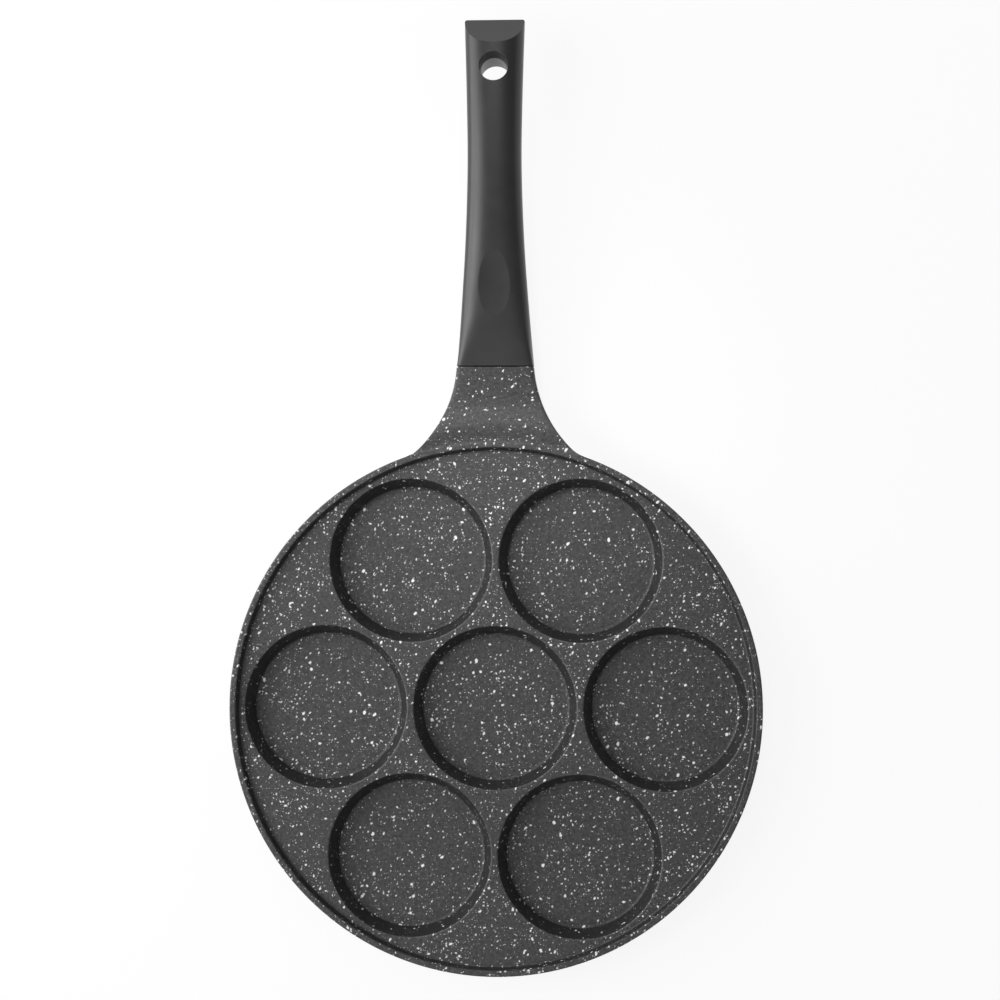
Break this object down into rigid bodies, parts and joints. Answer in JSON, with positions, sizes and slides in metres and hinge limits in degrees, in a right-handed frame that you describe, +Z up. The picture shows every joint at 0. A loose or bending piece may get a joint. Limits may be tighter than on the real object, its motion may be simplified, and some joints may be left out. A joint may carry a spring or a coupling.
{
  "type": "egg pan",
  "caption": "Cast frying pan with round wells for eggs or small pancakes, a low rim, a speckled stone-effect coating and a long moulded handle with a hang hole",
  "frame": {"origin": "centre of the base disc's underside, on the surface that the pan stands on", "axes": "+Z up, +Y from the pan's centre along the handle, +X across the pan"},
  "size_m": [0.26, 0.4634, 0.0422],
  "materials": {
    "stone_coating": "satin",
    "base_steel": "satin",
    "handle_phenolic": "satin",
    "zinc_steel": "satin"
  },
  "bodies": {
    "root": {"pan_body": "stone_coating", "induction_base_disc": "base_steel", "handle_grip": "handle_phenolic", "handle_screw": "zinc_steel", "spring_washer": "zinc_steel", "flat_washer": "zinc_steel"}
  },
  "joints": []
}
